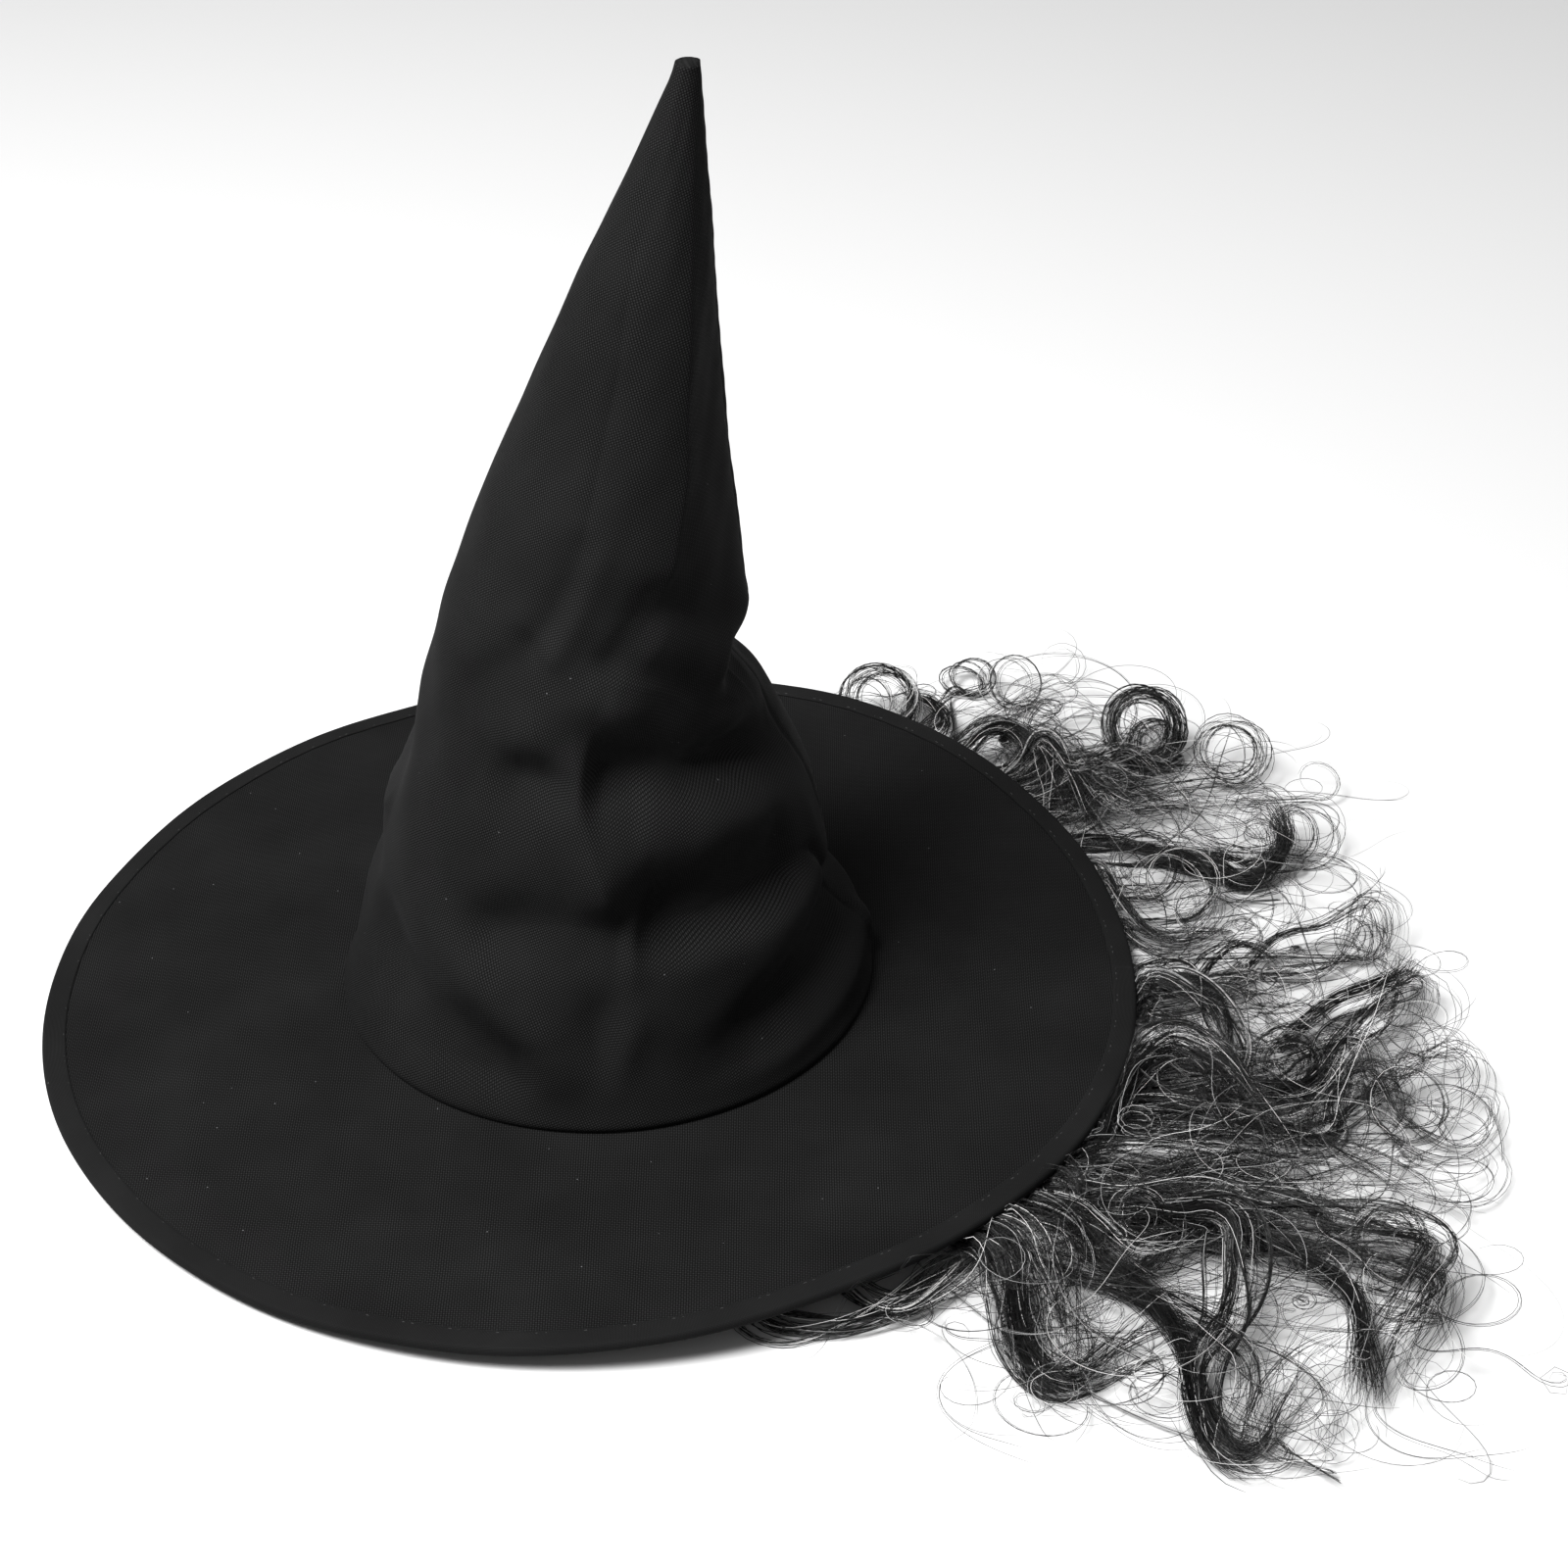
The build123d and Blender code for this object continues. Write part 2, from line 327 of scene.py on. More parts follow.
def brim_slab(name, top, bottom, t_out, material, rows, cols):
    """One layer of the brim as a thin closed ring between two depths below the top face."""
    deg = np.linspace(0, 360, cols, endpoint=False)[:, None]
    t = np.linspace(0.0, t_out, rows)[None, :]
    upper = brim_point(t + 0 * deg, deg + 0 * t, -top)
    lower = brim_point(t + 0 * deg, deg + 0 * t, -bottom)[:, ::-1]
    loops = np.concatenate([upper, lower], axis=1)
    cloth = np.stack([loops[..., 0], loops[..., 1], 0 * loops[..., 0] + 0.5], axis=-1)
    return closed_band(name, loops, material, cloth.reshape(-1, 3))


brim_top = brim_slab("brim_top_cloth", 0.0, 0.55, t_out=0.992, material=BRIM_CLOTH, rows=70, cols=480)
brim_core = brim_slab("brim_interlining", 0.60, 1.95, t_out=0.975, material=CORE_CLOTH, rows=16, cols=240)
brim_below = brim_slab("brim_under_cloth", 2.0, 2.55, t_out=0.992, material=UNDER_CLOTH, rows=40, cols=360)
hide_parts("brim_top_panel")
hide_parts("brim_stiffener")
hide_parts("brim_under_panel")


def edge_band(name, section, material, cols):
    """A ring that follows the brim's edge. section lists (outward, up) from the edge's top corner."""
    deg = np.linspace(0, 360, cols, endpoint=False)
    a = np.radians(deg)
    edge = brim_point(np.ones_like(deg), deg)
    inner = brim_point(np.ones_like(deg) * 0.93, deg)
    run = unit(edge - inner)
    up = np.array([0.0, 0.0, 1.0])
    loops = np.stack([edge + run * out + up * rise for out, rise in section], axis=1)
    steps = np.array([0.0] + [math.dist(section[i], section[i - 1]) for i in range(1, len(section))])
    v = np.cumsum(steps)
    cloth = np.stack(np.broadcast_arrays((a * BRIM_R)[:, None], v[None, :], 0.5), axis=-1)
    return closed_band(name, loops, material, cloth.reshape(-1, 3))


def arc(x, y, width, height, degrees):
    """Points of an ellipse round (x, y): 0 degrees is its top and 90 its outer side."""
    turns = [math.radians(k) for k in degrees]
    return [(x + width * math.sin(w), y + height * math.cos(w)) for w in turns]


BINDING_W = 6.6
binding_section = (
    [(-BINDING_W, 0.05), (-BINDING_W + 0.15, 0.42), (-BINDING_W + 0.7, 0.58), (-3.5, 0.50), (-1.2, 0.55)]
    + arc(0.2, -1.35, 1.55, 1.85, range(0, 181, 18))
    + [(-1.2, -3.25), (-3.5, -3.2), (-BINDING_W + 0.5, -3.2), (-BINDING_W, -2.7)]
    + [(-BINDING_W + 0.6, -2.55), (-0.6, -2.5), (-0.2, -1.35), (-0.6, -0.1), (-BINDING_W + 0.6, 0.0)]
)
binding = edge_band("brim_binding", binding_section, BINDING_CLOTH, 720)
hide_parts("brim_edge_binding")
wire = edge_band("brim_wire", arc(-0.9, -1.3, 0.55, 0.55, range(90, -270, -45)), WIRE, 360)
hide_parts("brim_edge_wire")


def stitch_row(name, centres, ahead, up, length, radius, sink):
    """A row of short stitches: each is a little bowed capsule that dips into the cloth at its ends."""
    steps = np.array([-1.0, -0.85, -0.45, 0.0, 0.45, 0.85, 1.0])
    fat = np.array([0.25, 0.8, 1.0, 1.05, 1.0, 0.8, 0.25]) * radius
    dip = -sink * np.abs(steps) ** 3
    side = np.cross(ahead, up)
    sides = 6
    verts = []
    for i, s in enumerate(steps):
        for k in range(sides):
            w = 2 * math.pi * k / sides
            rise = up * (dip[i] + fat[i] * math.sin(w))
            verts.append(centres + ahead * (s * length / 2) + rise + side * fat[i] * math.cos(w))
    verts = np.stack(verts, axis=1)
    one = grid_faces(len(steps), sides, True)
    per = len(steps) * sides
    faces = (one[None] + np.arange(len(centres))[:, None, None] * per).reshape(-1, 4)
    return make_piece(name, verts.reshape(-1, 3), faces, [THREAD])


def brim_stitches(name, inset, pitch, length, radius, above):
    """Stitches all round the brim, inset from its edge and lying above its top face."""
    count = int(2 * math.pi * BRIM_R / pitch)
    deg = np.linspace(0, 360, count, endpoint=False)
    t = np.ones_like(deg) * (1.0 - inset / (BRIM_R - OPEN_R))
    here = brim_point(t, deg, above)
    ahead = unit(brim_point(t, deg + 0.3, above) - here)
    up = np.zeros_like(ahead)
    up[:, 2] = 1.0
    return stitch_row(name, here, ahead, up, length, radius, sink=radius * 1.5)


topstitch = brim_stitches("binding_stitches", BINDING_W - 1.1, pitch=3.1, length=2.5, radius=0.15, above=0.42)
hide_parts("binding_topstitch")

# ------------------------------------------------------------------ crown shape
TIP_Z = 334.0
# height, radius, and lean toward the back, of the cone without its folds
PROFILE = [
    (-1.5, 91.0, 0.0), (2.0, 93.0, 0.0), (8.0, 90.5, 0.0), (22.0, 86.0, 0.0), (45.0, 80.0, -0.5),
    (75.0, 73.5, -1.0), (98.0, 65.5, -1.5), (116.0, 57.0, -2.0), (130.0, 52.5, -2.5), (150.0, 50.0, -0.5),
    (174.0, 44.5, 3.5), (196.0, 39.3, 6.6), (228.0, 30.8, 12.5), (270.0, 20.2, 20.8), (300.0, 11.8, 27.0),
    (TIP_Z, 3.6, 34.0),
]
PROFILE_Z, PROFILE_R, PROFILE_Y = (np.array(column) for column in zip(*PROFILE))


def profile(values, z):
    """Values of the profile at heights z, rounded over a few millimetres."""
    total = 0.0
    offsets = (-6.0, -3.0, 0.0, 3.0, 6.0)
    for off in offsets:
        total = total + np.interp(z + off * np.clip(np.abs(z) / 14.0, 0.0, 1.0), PROFILE_Z, values)
    return total / len(offsets)


def fold(deg, z, path, depth, above, below, power=2.0, lip=0.0, hang=0.0, starts=0.2, ends=0.2):
    """Cloth pushed in along a path of (degrees, height) points; a negative depth is a ridge.
    The push fades over above and below millimetres on the two sides of the path, above being
    the upper side of a path that runs toward the back. lip swells the cloth over the path, and
    hang lets that swelling droop. Gives how far the cloth moves out, and up."""
    best = np.full(deg.shape, 1e9)
    side = np.zeros(deg.shape)
    along = np.zeros(deg.shape)
    pts = np.array(path, float)
    k = np.interp(z, PROFILE_Z, PROFILE_R) * math.pi / 180
    total = len(pts) - 1
    for i in range(total):
        px = ((deg - pts[i, 0] + 180) % 360 - 180) * k
        pz = z - pts[i, 1]
        ex = ((pts[i + 1, 0] - pts[i, 0] + 180) % 360 - 180) * k
        ez = pts[i + 1, 1] - pts[i, 1]
        t = np.clip((px * ex + pz * ez) / (ex * ex + ez * ez), 0, 1)
        d = np.hypot(px - t * ex, pz - t * ez)
        near = d < best
        best = np.where(near, d, best)
        side = np.where(near, px * ez - pz * ex, side)
        along = np.where(near, (i + t) / total, along)
    fade = smooth(along / starts) * smooth((1 - along) / ends)
    width = np.where(side > 0, above, below)
    out = -depth * np.exp(-(best / width) ** power) * fade
    rise = 0.0
    if lip:
        swell = np.where(side > 0, np.exp(-((best - 1.5 * above) / above) ** 2), 0.0)
        out = out + lip * swell * fade
    if hang:
        droop = np.where(side > 0, np.exp(-((best - 0.9 * above) / (0.7 * above)) ** 2), 0.0)
        rise = -hang * droop * fade
    return out, rise


def slack(deg, z):
    """Small uneven waves everywhere, less in the taut upper cone and at the sewn base."""
    a = np.radians(deg)
    waves = 0.40 * np.sin(5 * a + z * 0.09) + 0.28 * np.sin(9 * a - z * 0.13 + 1.3)
    waves = waves + 0.16 * np.sin(14 * a + z * 0.21 + 0.4)
    return waves * np.interp(z, [0, 6, 20, 120, 160, 300, TIP_Z], [0.1, 0.5, 1.0, 1.0, 0.5, 0.3, 0.1])


# Folds on the camera's side, from the kink down to the base, then the far side's.
# Each is a path, depth, width above and below, and any of fold's other values.
FOLDS = [
    # the kink that the tip leans back over
    ([(32, 120), (28, 128), (21, 136), (6, 137), (-12, 131), (-40, 127), (-80, 126)],
     7.0, 8, 10, {"lip": 1.0, "starts": 0.45}),
    # the deep band under the overhang, and the hollow under that
    ([(91, 119), (80, 117), (62, 114), (44, 110), (26, 106), (6, 100), (-20, 96)],
     10.0, 13, 11, {"lip": 2.0, "hang": 1.5, "starts": 0.12, "ends": 0.35}),
    ([(82, 66), (70, 64), (56, 64), (42, 65), (28, 65), (10, 66)],
     12.0, 21, 8, {"power": 2.3, "lip": 2.5, "hang": 1.5, "starts": 0.16}),
    ([(87, 75), (77, 73), (66, 71), (54, 68)], 3.6, 19, 8, {"starts": 0.3, "ends": 0.4}),
    ([(62, 114), (46, 110), (30, 107), (10, 101)], 6.0, 8, 9, {"starts": 0.4, "ends": 0.4}),
    # the upright edge left of both
    ([(93, 140), (91, 120), (90, 106), (88, 94), (85, 80), (80, 64)], -3.6, 7, 17, {"power": 1.3}),
    # a small hollow beside it, and the arched crease at its foot
    ([(124, 116), (112, 115), (101, 116), (91, 119)], 4.8, 9, 9, {"lip": 1.4, "starts": 0.4, "ends": 0.4}),
    ([(126, 55), (116, 63), (106, 68), (96, 70), (86, 68), (77, 65)],
     6.0, 13, 14, {"power": 1.8, "lip": 1.2, "ends": 0.12}),
    # left of them: a long diagonal valley, and the creased ridge beside it
    ([(166, 50), (158, 44), (147, 36), (134, 28), (120, 21), (108, 16), (101, 14)],
     6.0, 13, 17, {"starts": 0.3, "ends": 0.3, "lip": 1.0}),
    ([(134, 60), (124, 52), (115, 42), (108, 30), (102, 16)], -2.0, 10, 8, {"starts": 0.4, "ends": 0.4}),
    # upright pleats above the seam
    ([(76, 50), (80, 40), (84, 26), (88, 6)], -1.8, 6, 6, {"starts": 0.5, "ends": 0.4}),
    ([(91, 54), (89, 42), (88, 26), (88, 8)], 2.2, 6, 6, {"starts": 0.5, "ends": 0.4}),
    ([(108, 46), (101, 30), (95, 8)], -2.4, 8, 9, {"starts": 0.5, "ends": 0.4}),
    # right of it: the diagonal valley that runs back to the seam, under a bulge
    (
        [(-62, 34), (-30, 37), (-4, 38), (10, 36), (22, 34), (34, 31), (48, 26), (62, 21), (78, 15)],
        7.5, 12, 10, {"lip": 2.0, "hang": 1.0, "ends": 0.3},
    ),
    ([(16, 68), (9, 50), (0, 32)], 3.0, 2.5, 2.5, {"power": 1.2}),
    ([(-4, -6), (-4, 10), (-2, 28)], -3.0, 6, 6, {}),
    # lobes and pleats at the foot of the upper cone
    ([(100, 170), (88, 159), (77, 151), (61, 144), (44, 131), (30, 120)], 3.4, 11, 8, {"starts": 0.55}),
    ([(92, 151), (76, 148), (62, 143), (50, 134), (38, 124)], -1.3, 3, 6, {"power": 1.3}),
    ([(76, 174), (62, 170), (48, 165), (34, 160), (6, 154)], 2.8, 14, 7, {"power": 1.5, "starts": 0.4}),
    ([(64, 184), (71, 171), (79, 158), (86, 150)], 1.2, 6, 5, {}),
    ([(72, 162), (56, 154), (40, 146), (24, 136)], -2.2, 12, 10, {}),
    ([(128, 123), (112, 131), (96, 139), (80, 142), (62, 136)], -2.8, 9, 9, {}),
    ([(96, 200), (101, 182), (108, 166), (116, 152)], 1.6, 6, 6, {}),
    ([(88, 200), (94, 180), (101, 162), (108, 150)], -1.3, 5, 5, {}),
    ([(108, 160), (118, 152), (130, 144), (146, 134)], 2.2, 9, 8, {}),
    # the front: two soft notches in the outline, with a corner between them
    ([(216, 108), (184, 101), (156, 95)], 4.0, 9, 10, {"starts": 0.5, "ends": 0.5}),
    ([(226, 85), (184, 82), (142, 79)], 3.2, 22, 24, {"starts": 0.5, "ends": 0.5}),
    ([(218, 52), (184, 56), (150, 53)], 4.0, 9, 9, {"starts": 0.5, "ends": 0.5}),
    ([(196, 74), (181, 76), (166, 76)], -2.0, 5, 5, {"power": 1.3}),
    # upper cone: a long facet edge, the flat beside it, and a faint crease
    ([(50, 330), (55, 285), (56, 243), (55, 211), (60, 186), (66, 166)],
     -4.6, 7, 19, {"power": 1.2, "starts": 0.4}),
    ([(24, 320), (24, 250), (23, 205), (26, 150)], 1.8, 13, 13, {"starts": 0.5, "ends": 0.2}),
    ([(110, 292), (107, 277), (99, 245), (99, 224), (99, 203), (100, 180)], 0.55, 2.5, 2.5, {"power": 1.3}),
    # the far side
    ([(-30, 110), (-56, 103), (-80, 97), (-106, 97), (-140, 106)], 9.0, 10, 13, {"lip": 2.0}),
    ([(-26, 78), (-52, 72), (-76, 66), (-104, 69), (-138, 60)], 8.5, 9, 12, {"lip": 2.0}),
    ([(-84, 120), (-90, 100), (-90, 84), (-84, 58)], -3.0, 12, 6, {"power": 1.3}),
    ([(-66, 44), (-82, 38), (-104, 32), (-134, 30), (-168, 16)], 7.0, 9, 12, {"lip": 1.5}),
    ([(-50, 154), (-66, 150), (-82, 144), (-104, 146), (-136, 136)], 3.6, 8, 7, {"lip": 0.8}),
    ([(-148, 104), (-158, 80), (-158, 60), (-152, 36)], 3.6, 8, 8, {}),
    ([(-112, 52), (-108, 30), (-112, 2)], -2.2, 6, 6, {}),
    ([(-66, 54), (-60, 30), (-62, 2)], -2.2, 6, 6, {}),
    ([(-58, 320), (-64, 250), (-70, 200), (-80, 160)], -1.8, 12, 12, {"power": 1.2}),
    ([(-134, 270), (-122, 210), (-110, 160)], 1.6, 7, 7, {}),
]


def crown_point(deg, z, inset=0.0):
    """Point on the crown's outer face, or inset millimetres inside it."""
    a = np.radians(deg)
    out, rise = 0.0, 0.0
    for path, depth, above, below, more in FOLDS:
        moved, dropped = fold(deg, z, path, depth, above, below, **more)
        out = out + moved
        rise = rise + dropped
    hold = smooth((z - 3.0) / 12.0)
    # the back seam: a narrow groove, with puckers beside it
    seam = ((deg + 180) % 360 - 180) * np.interp(z, PROFILE_Z, PROFILE_R) * math.pi / 180
    out = out - 0.6 * np.exp(-(seam / 1.3) ** 2) + 0.08 * np.sin(z * 0.75) * np.exp(-(seam / 7) ** 2)
    r = profile(PROFILE_R, z) + out * hold + slack(deg, z) - inset
    y0 = profile(PROFILE_Y, z)
    base = OPEN_TILT * np.cos(a) * (1 - smooth(z / 40))
    return np.stack([r * np.sin(a), y0 + r * np.cos(a), z + base + rise * hold], axis=-1)


def cone_grid(rows, top, inset=0.0):
    """Rows of points round the crown up to a height, and the degrees and heights they stand for."""
    around = np.linspace(0, 360, 380, endpoint=False)
    deg, z = np.meshgrid(around, np.linspace(-1.2, top, rows))
    return crown_point(deg, z, inset), deg, z


outer, deg_o, z_o = cone_grid(360, TIP_Z)
inner, deg_i, z_i = cone_grid(120, TIP_Z - 6, inset=1.2)
rows_o, cols_o = outer.shape[:2]
rows_i, cols_i = inner.shape[:2]


def cone_cloth(deg, z):
    """Place on the flat cloth of the cone: along its sides and round it."""
    apex = 348.0          # height at which the straight sides would meet
    steepness = 0.965     # height gained for each millimetre up a side
    sector = 0.262        # share of a full turn that the flat cloth spans
    slant = (apex - z) / steepness
    turn = np.radians(deg) * sector
    return np.stack([slant * np.sin(turn), slant * np.cos(turn), 0 * slant + 0.5], axis=-1)


verts = np.concatenate([outer.reshape(-1, 3), inner.reshape(-1, 3)])
faces = [
    grid_faces(rows_o, cols_o, True),
    grid_faces(rows_i, cols_i, True, rows_o * cols_o, flip=True),
]
start_i = rows_o * cols_o
around = np.arange(cols_o)
after = (around + 1) % cols_o
hem_faces = np.stack([after, around, start_i + around, start_i + after], axis=1)
tip_o = (rows_o - 1) * cols_o
cap = np.array([
    (tip_o + k, tip_o + k + 1, tip_o + cols_o - 2 - k, tip_o + cols_o - 1 - k)
    for k in range(cols_o // 2 - 1)
])
tip_i = start_i + (rows_i - 1) * cols_i
cap_in = np.array([
    (tip_i + cols_i - 1 - k, tip_i + cols_i - 2 - k, tip_i + k + 1, tip_i + k)
    for k in range(cols_i // 2 - 1)
])
all_faces = np.concatenate(faces + [cap, cap_in, hem_faces])
mats = np.zeros(len(all_faces), int)
mats[len(faces[0]):len(faces[0]) + len(faces[1])] = 1
cloth = np.concatenate([
    cone_cloth(deg_o, z_o).reshape(-1, 3),
    cone_cloth(deg_i, z_i).reshape(-1, 3),
])
crown = make_piece(
    "crown_cloth_cone", verts, all_faces, [CROWN_CLOTH, LINING_CLOTH], mats, cloth, body=None
)
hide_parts("crown_lower_panel", "crown_fold_zone", "crown_upper_panel", "crown_tip_fold")
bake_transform(crown)


def seam_strip(name, low, high, node):
    """The back seam's pressed-open edges, inside the crown, between two heights."""
    # millimetres across the seam, and inward from the crown's outer face
    section = [
        (-5.5, 1.25), (-5.5, 1.9), (-1.2, 2.5), (0, 2.1),
        (1.2, 2.5), (5.5, 1.9), (5.5, 1.25), (0, 1.25),
    ]
    z = np.linspace(low, high, 120)
    taper = np.interp(z, [low, 250, TIP_Z], [1.0, 1.0, 0.25]) if high > 250 else np.ones_like(z)
    loops = []
    for across, depth in section:
        angle = np.degrees(across * taper / np.interp(z, PROFILE_Z, PROFILE_R))
        loops.append(crown_point(angle, z, depth))
    loops = np.stack(loops, axis=1)
    ends = len(section)
    sides = grid_faces(len(z), ends, True)
    last = (len(z) - 1) * ends
    caps = np.array([(7, 2, 1, 0), (7, 4, 3, 2), (7, 6, 5, 4), (last, last + 1, last + 2, last + 7),
                     (last + 2, last + 3, last + 4, last + 7), (last + 4, last + 5, last + 6, last + 7)])
    place = np.stack(np.broadcast_arrays(np.arange(ends)[None] * 1.5, z[:, None], 0.5), axis=-1)
    strip = make_piece(name, loops.reshape(-1, 3), np.concatenate([sides, caps]), [LINING_CLOTH],
                       cloth=place.reshape(-1, 3), body=None)
    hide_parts(node)
    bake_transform(strip)


seam_strip("inner_seam_lower", 4.0, 127.0, "back_seam_lower")
seam_strip("inner_seam_upper", 129.0, 318.0, "back_seam_upper")


def base_stitches():
    """The stitches that hold the crown's turned-in edge to the brim, down in the crease."""
    deg = np.arange(0, 360, 1.9)
    a = np.radians(deg)
    r = OPEN_R + 0.6
    centres = np.stack([r * np.sin(a), r * np.cos(a), 0.45 + OPEN_TILT * np.cos(a)], axis=-1)
    ahead = np.stack([np.cos(a), -np.sin(a), 0 * a], axis=-1)
    outward = np.stack([np.sin(a), np.cos(a), 0 * a], axis=-1)
    return stitch_row("base_seam_stitches", centres, ahead, outward, length=2.4, radius=0.28, sink=0.5)


base_row = base_stitches()
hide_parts("base_seam_thread")

# ------------------------------------------------------------------ carried-over CAD nodes
for node, material in (
    ("sweatband", BAND_CLOTH),
    ("sweatband_seam_thread", THREAD),
    ("hair_tape_left", TAPE_CLOTH),
    ("hair_tape_right", TAPE_CLOTH),
    ("hair_tape_back", TAPE_CLOTH),
    ("hair_tape_threads", THREAD),
):
    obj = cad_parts[node]
    obj.data.materials.clear()
    obj.data.materials.append(material)

# ------------------------------------------------------------------ hair
def spline(points, count):
    """Smooth curve through given points, evenly resampled."""
    p = np.asarray(points, float)
    ends = np.vstack([2 * p[0] - p[1], p, 2 * p[-1] - p[-2]])
    fine = []
    for i in range(len(p) - 1):
        a, b, c, d = ends[i], ends[i + 1], ends[i + 2], ends[i + 3]
        t = np.linspace(0, 1, 24, endpoint=False)[:, None]
        bend = (2 * a - 5 * b + 4 * c - d) * t ** 2 + (3 * b - a - 3 * c + d) * t ** 3
        fine.append(0.5 * (2 * b + (c - a) * t + bend))
    fine = np.vstack(fine + [p[-1:]])
    run = np.concatenate([[0], np.cumsum(np.linalg.norm(np.diff(fine, axis=0), axis=1))])
    at = np.linspace(0, run[-1], count)
    return np.stack([np.interp(at, run, fine[:, k]) for k in range(3)], axis=1), run[-1]


def tuck(paths):
    """Keeps strands above the floor and, near the hat, below the brim."""
    ceiling, t = brim_under(paths[..., 0], paths[..., 1])
    free = smooth((t - 1.015) / 0.05)
    top = ceiling - 0.7 + free * 60
    z = paths[..., 2]
    squeezed = np.minimum(z, top - 0.5 * np.exp(-np.abs(z - top)))
    paths[..., 2] = np.maximum(squeezed, FLOOR + 0.25)
    return paths


class Strands:
    """Collects strands as thin three-sided tubes, one list for each piece."""

    def __init__(self):
        self.groups = {}

    def add(self, piece, paths, radius, shade):
        self.groups.setdefault(piece, []).append((tuck(np.asarray(paths)), radius, shade))

    def build(self, piece, body, replaced):
        """Makes one mesh piece of the strands collected under the piece's name."""
        verts, faces, mats = [], [], []
        base = 0
        for paths, radius, shade in self.groups[piece]:
            n, k, _ = paths.shape
            ahead = unit(np.gradient(paths, axis=1))
            side = unit(np.cross(ahead, unit(RNG.normal(size=(n, 1, 3)))))
            up = np.cross(side, ahead)
            thin = np.minimum(1.0, (1.0 - np.linspace(0, 1, k)) * 7 + 0.25)[None, :, None]
            rad = radius[:, None, None] * thin
            corners = (0.0, 2.094, 4.189)      # thirds of a turn
            ring = [paths + rad * (side * math.cos(w) + up * math.sin(w)) for w in corners]
            verts.append(np.stack(ring, axis=2).reshape(-1, 3))
            one = grid_faces(k, 3, True)
            faces.append((one[None] + np.arange(n)[:, None, None] * k * 3).reshape(-1, 4) + base)
            mats.append(np.repeat(shade, len(one)))
            base += n * k * 3
        obj = make_piece(f"curls_{piece}", np.concatenate(verts), np.concatenate(faces), FIBRES,
                         np.concatenate(mats), body=body)
        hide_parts(replaced)


strands = Strands()
# shares of the six fibre shades, from black to pale
DARK = [0.70, 0.20, 0.04, 0.02, 0.025, 0.015]
GREY = [0.50, 0.24, 0.07, 0.05, 0.08, 0.06]
PALE = [0.26, 0.18, 0.10, 0.10, 0.19, 0.17]
BLACK = [0.88, 0.09, 0.01, 0.0, 0.01, 0.01]
# a direction that no strand runs along, to measure sideways from
LEAN = np.array([0.35, 0.0, 0.94])


def frames(line):
    """Direction, sideways and outward vectors along a line of points."""
    ahead = unit(np.gradient(line, axis=0))
    side = unit(np.cross(ahead, LEAN))
    return ahead, side, np.cross(side, ahead)


def sample(values, at):
    """Rows of values at fractional places."""
    low = np.clip(at.astype(int), 0, len(values) - 2)
    part = (at - low)[..., None]
    return values[low] * (1 - part) + values[low + 1] * part


def tress(piece, line, length, count, spread, mix, radius=(0.08, 0.13), ends=(0.0, 1.0), fan=1.6, slide=1.0):
    """Strands that run near each other along a line, cross now and then, and part at its end.
    ends is the share of the line they cover, fan how much they part, slide how unevenly they lie."""
    _, side, rise = frames(line)
    segments = int(np.clip(length / 3.4, 24, 72))
    start = ends[0] + RNG.uniform(0, 0.03, (count, 1))
    stop = ends[1] * (1.0 - 0.30 * RNG.random((count, 1)) ** 2.2)
    t = start + (stop - start) * np.linspace(0, 1, segments)[None]
    late = RNG.normal(0, 0.014 * slide, (count, 1)) * np.sin(math.pi * t)
    at = np.clip(t + late, 0, 1) * (len(line) - 1)
    wide = spread * (0.75 + fan * smooth((t - 0.62) / 0.38))
    turns = RNG.uniform(0.3, 1.3, (count, 2)) * length / 100.0
    phase = RNG.uniform(0, 2 * math.pi, (count, 4))
    place = RNG.normal(0, 0.6, (count, 2))
    sway_x = np.sin(2 * math.pi * turns[:, :1] * t + phase[:, :1])
    sway_x = sway_x + 0.4 * np.sin(2 * math.pi * 2.3 * turns[:, 1:] * t + phase[:, 1:2])
    sway_z = np.sin(2 * math.pi * turns[:, 1:] * t + phase[:, 2:3])
    off_x = wide * (place[:, :1] + 0.6 * sway_x)
    off_z = wide * (place[:, 1:] + 0.6 * sway_z) * 0.7
    paths = sample(line, at) + sample(side, at) * off_x[..., None] + sample(rise, at) * off_z[..., None]
    shade = RNG.choice(6, count, p=mix)
    # the three pale shades are finer
    thick = RNG.uniform(*radius, count) * np.where(shade > 2, 0.72, 1.0)
    strands.add(piece, paths, thick, shade)


